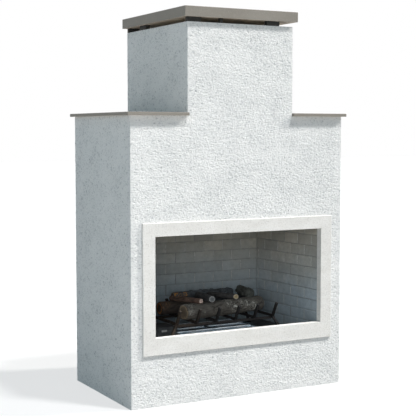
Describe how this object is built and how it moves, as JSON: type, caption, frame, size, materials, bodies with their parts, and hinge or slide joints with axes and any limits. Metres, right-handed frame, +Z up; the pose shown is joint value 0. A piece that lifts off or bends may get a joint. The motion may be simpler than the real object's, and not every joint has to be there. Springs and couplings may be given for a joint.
{
  "type": "outdoor fireplace",
  "caption": "Free-standing stuccoed outdoor fireplace with chimney and floating cap, brick-lined firebox, gas burner, grate, ceramic logs and rear access door.",
  "frame": {"origin": "middle of the base, on the ground", "axes": "+Z up, the fire opening faces -Y, +X to the right of someone facing the fire"},
  "size_m": [1.278, 0.764, 1.981],
  "materials": {
    "stucco": "rough hand-thrown texture coat",
    "smooth_render": "fine sand finish",
    "cement_board": "bare cement board",
    "slab": "honed",
    "cap_slab": "honed",
    "black_rubber": "matt",
    "galvanised": "spangled zinc",
    "sheet_steel": "mill finish sheet",
    "firebrick": "cast refractory, matt",
    "hearth_black": "black heat-proof coating",
    "grate_black": "scaled black steel",
    "stainless": "polished sheet",
    "brass": "machined",
    "black_plastic": "moulded",
    "red_plastic": "moulded",
    "cover_black": "heat-proof matt paint",
    "black_pipe": "black iron pipe",
    "lever_yellow": "dipped vinyl grip",
    "door_steel": "brushed",
    "log_ceramic": "cast and hand-coloured"
  },
  "bodies": {
    "fireplace": {"back_brick_panel": "firebrick", "back_log": "log_ceramic", "back_lower_board": "cement_board", "back_side_boards": "cement_board", "back_upper_board": "cement_board", "base_frame": "galvanised", "bearers": "galvanised", "burner_feed": "stainless", "burner_tray": "stainless", "burner_tubes": "stainless", "cap_spacers": "black_rubber", "chase_cover": "sheet_steel", "chimney_cap": "cap_slab", "chimney_face_boards": "cement_board", "chimney_posts": "galvanised", "chimney_side_boards": "cement_board", "chimney_top_frame": "galvanised", "corner_posts": "galvanised", "cross_left_log": "log_ceramic", "cross_middle_log": "log_ceramic", "cross_right_log": "log_ceramic", "door_frame": "door_steel", "firebox_floor": "hearth_black", "firebox_shell": "sheet_steel", "flue_pipe": "sheet_steel", "front_log": "log_ceramic", "front_lower_board": "cement_board", "front_side_boards": "cement_board", "front_upper_board": "cement_board", "gas_valve": "brass", "gnarled_log": "log_ceramic", "grate": "grate_black", "hinge_pins": "door_steel", "igniter_body": "black_plastic", "inlet_nipple": "black_pipe", "left_brick_panel": "firebrick", "left_ledge": "slab", "mid_rails": "galvanised", "pilot_burner": "stainless", "rear_jamb_posts": "galvanised", "rear_left_log": "log_ceramic", "rear_right_log": "log_ceramic", "right_brick_panel": "firebrick", "right_ledge": "slab", "shoulder_boards": "cement_board", "shutoff_valve": "brass", "side_boards": "cement_board", "smoke_hood": "sheet_steel", "stucco_coat": "stucco", "supply_pipe": "black_pipe", "surround_frame": "smooth_render", "top_frame": "galvanised", "valve_cover": "cover_black"},
    "valve_stem": {"valve_stem": "brass"},
    "control_knob": {"control_knob": "black_plastic"},
    "igniter_button": {"igniter_button": "red_plastic"},
    "shutoff_lever": {"shutoff_lever": "lever_yellow"},
    "access_door": {"access_door": "door_steel"},
    "door_latch": {"door_latch": "door_steel"}
  },
  "joints": [
    {"name": "valve_turn", "type": "hinge", "parent": "fireplace", "child": "valve_stem", "pos_m": [-0.327, -0.15, 0.298], "axis": [0, -1, 0], "range_deg": [0, 180]},
    {"name": "knob_push", "type": "slide", "parent": "valve_stem", "child": "control_knob", "axis": [0, 1, 0], "range_m": [0, 0.003], "stiffness_N_per_m": 500},
    {"name": "igniter_push", "type": "slide", "parent": "fireplace", "child": "igniter_button", "axis": [0, 1, 0], "range_m": [0, 0.004], "stiffness_N_per_m": 500},
    {"name": "shutoff_turn", "type": "hinge", "parent": "fireplace", "child": "shutoff_lever", "pos_m": [-0.327, 0.29, 0.15], "axis": [0, 0, -1], "range_deg": [0, 90]},
    {"name": "door_swing", "type": "hinge", "parent": "fireplace", "child": "access_door", "pos_m": [0.2482, 0.367, 0.22], "axis": [0, 0, -1], "range_deg": [0, 110]},
    {"name": "latch_turn", "type": "hinge", "parent": "access_door", "child": "door_latch", "pos_m": [-0.2147, 0.355, 0.22], "axis": [0, -1, 0], "range_deg": [0, 90]}
  ]
}
